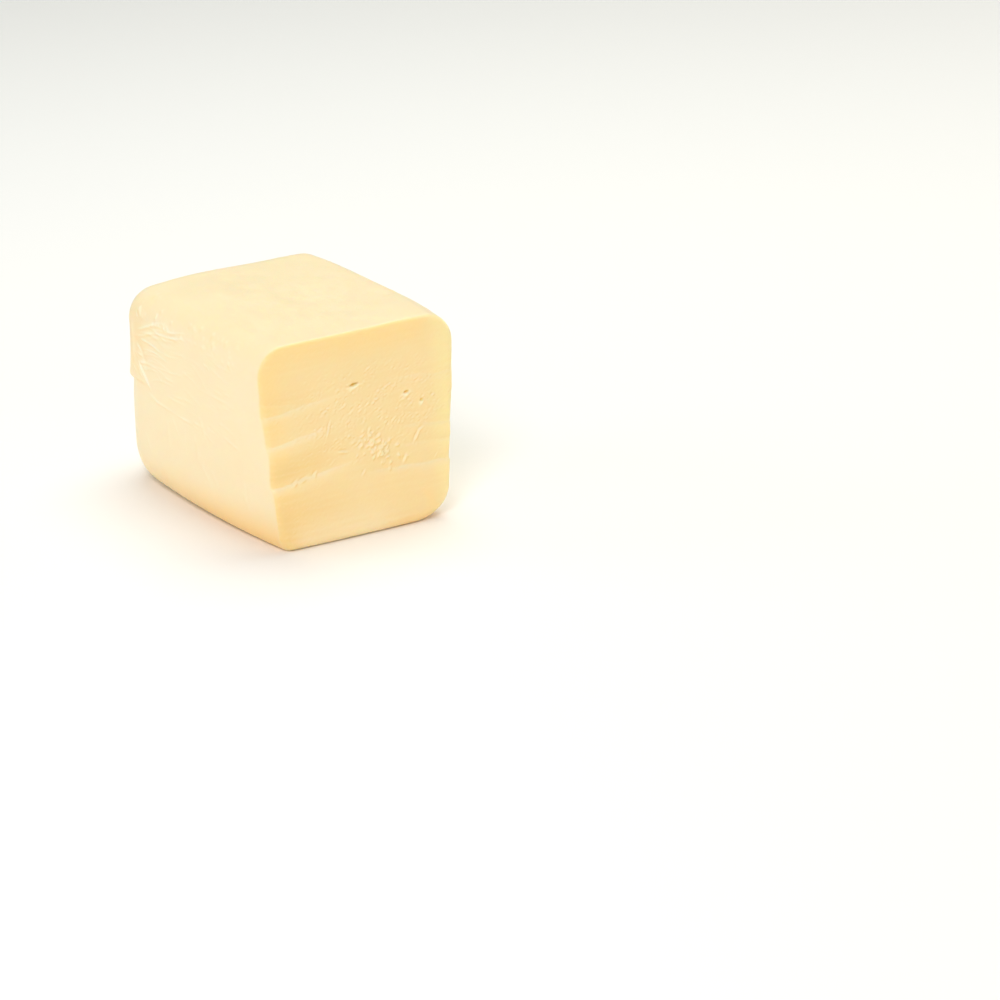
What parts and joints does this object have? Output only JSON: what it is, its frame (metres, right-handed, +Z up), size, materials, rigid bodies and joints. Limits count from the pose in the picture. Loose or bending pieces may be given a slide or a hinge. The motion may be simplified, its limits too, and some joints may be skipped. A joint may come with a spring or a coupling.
{
  "type": "mozzarella block",
  "caption": "Moulded block of low-moisture mozzarella with soft edges, cut across by a knife. Food to slice or grate; it rests on its flat underside.",
  "frame": {"origin": "middle of the block's box, on the surface that it rests on", "axes": "+Z up, +Y along the loaf from the cut face to the moulded end, +X to the right when facing the cut"},
  "size_m": [0.1096, 0.15, 0.0987],
  "materials": {
    "curd": "smooth, slightly moist pale yellow curd, faintly translucent"
  },
  "bodies": {
    "root": {"block": "curd"}
  },
  "joints": []
}
